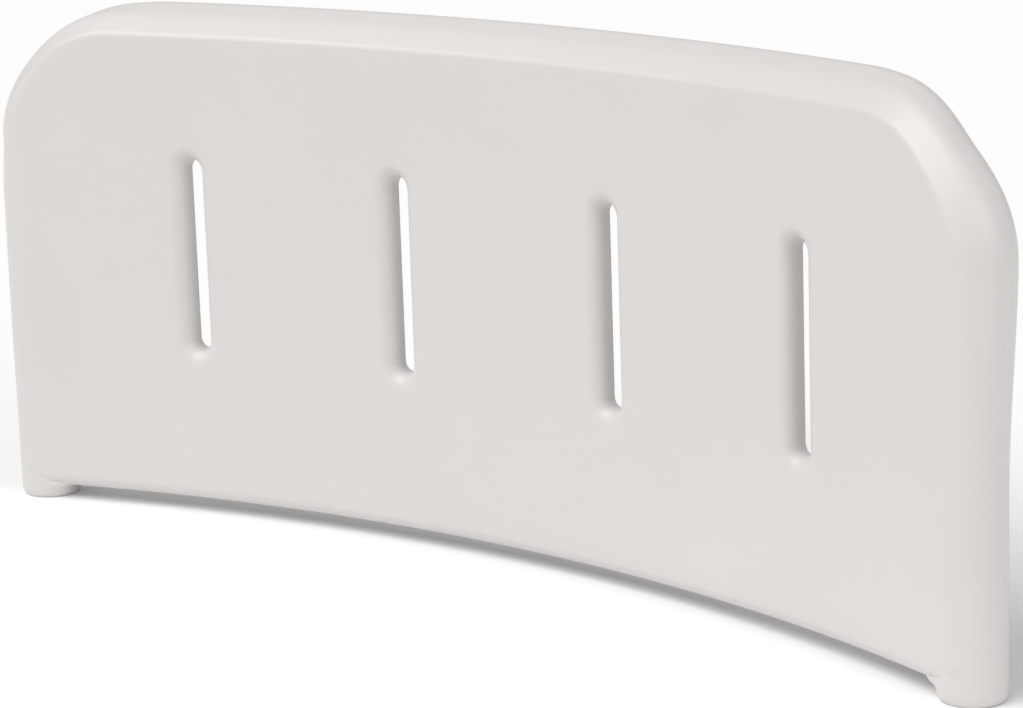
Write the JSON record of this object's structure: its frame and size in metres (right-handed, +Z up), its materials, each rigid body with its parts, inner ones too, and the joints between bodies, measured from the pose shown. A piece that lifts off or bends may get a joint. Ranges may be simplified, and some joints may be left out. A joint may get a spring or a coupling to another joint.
{
  "type": "transfer bench backrest",
  "caption": "Curved hollow backrest panel with a rolled rim, upright drain slots and two sleeves that slide down over a bench's posts.",
  "frame": {"origin": "middle of the panel's box, on the plane of the two sleeves' mouths", "axes": "+Z up along the bench's posts, -Y towards the user, +X the user's left"},
  "size_m": [0.5362, 0.0758, 0.229],
  "materials": {
    "white_moulding": "satin, very fine grain",
    "nylon": "smooth moulded",
    "aluminium_tube": "mill drawn",
    "stainless_screw": "plain stainless"
  },
  "bodies": {
    "root": {"front_shell": "white_moulding", "rear_cover": "white_moulding", "socket_tube_left": "aluminium_tube", "socket_tube_right": "aluminium_tube", "mouth_ring_left": "nylon", "mouth_ring_right": "nylon", "stop_plug_left": "nylon", "stop_plug_right": "nylon", "stiffener_rail": "aluminium_tube", "rail_cap_left": "nylon", "rail_cap_right": "nylon", "rail_clip_left": "nylon", "rail_clip_centre": "nylon", "rail_clip_right": "nylon", "clip_screws": "stainless_screw", "cover_screws": "stainless_screw", "tube_screws": "stainless_screw"}
  },
  "joints": []
}
